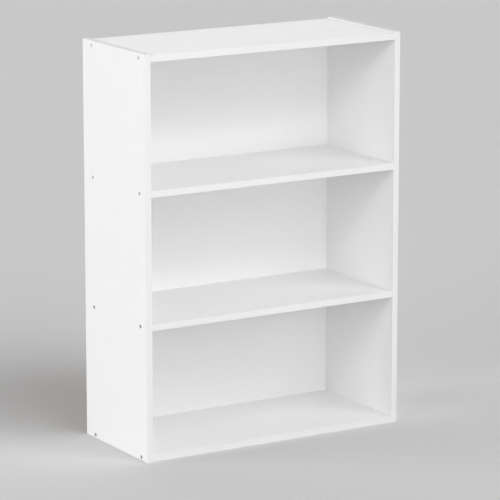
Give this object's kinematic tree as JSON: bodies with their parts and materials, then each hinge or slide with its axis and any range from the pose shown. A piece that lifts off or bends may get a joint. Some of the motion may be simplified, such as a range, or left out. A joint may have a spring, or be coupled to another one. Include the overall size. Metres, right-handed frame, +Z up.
{
  "type": "open bookcase",
  "caption": "Open bookcase with equal compartments: white melamine boards screwed between full-height sides, fixed shelves, edged fronts and a thin back nailed on behind.",
  "frame": {"origin": "on the floor, at the middle of the outline's width and depth", "axes": "+Z up, +X to the right seen from the front, +Y from the open front to the back"},
  "size_m": [0.58, 0.2506, 0.8],
  "materials": {
    "melamine_board": "satin",
    "edging": "satin",
    "back_sheet": "matte",
    "screw_steel": "satin",
    "nail_steel": "satin"
  },
  "bodies": {
    "root": {"back_panel": "back_sheet", "bottom_panel": "melamine_board", "bottom_panel_back_nails": "nail_steel", "bottom_panel_edging": "edging", "bottom_panel_left_screws": "screw_steel", "bottom_panel_right_screws": "screw_steel", "left_side_back_nails": "nail_steel", "left_side_front_edging": "edging", "left_side_panel": "melamine_board", "left_side_top_edging": "edging", "lower_shelf": "melamine_board", "lower_shelf_back_nails": "nail_steel", "lower_shelf_edging": "edging", "lower_shelf_left_screws": "screw_steel", "lower_shelf_right_screws": "screw_steel", "right_side_back_nails": "nail_steel", "right_side_front_edging": "edging", "right_side_panel": "melamine_board", "right_side_top_edging": "edging", "top_panel": "melamine_board", "top_panel_back_nails": "nail_steel", "top_panel_edging": "edging", "top_panel_left_screws": "screw_steel", "top_panel_right_screws": "screw_steel", "upper_shelf": "melamine_board", "upper_shelf_back_nails": "nail_steel", "upper_shelf_edging": "edging", "upper_shelf_left_screws": "screw_steel", "upper_shelf_right_screws": "screw_steel"}
  },
  "joints": []
}
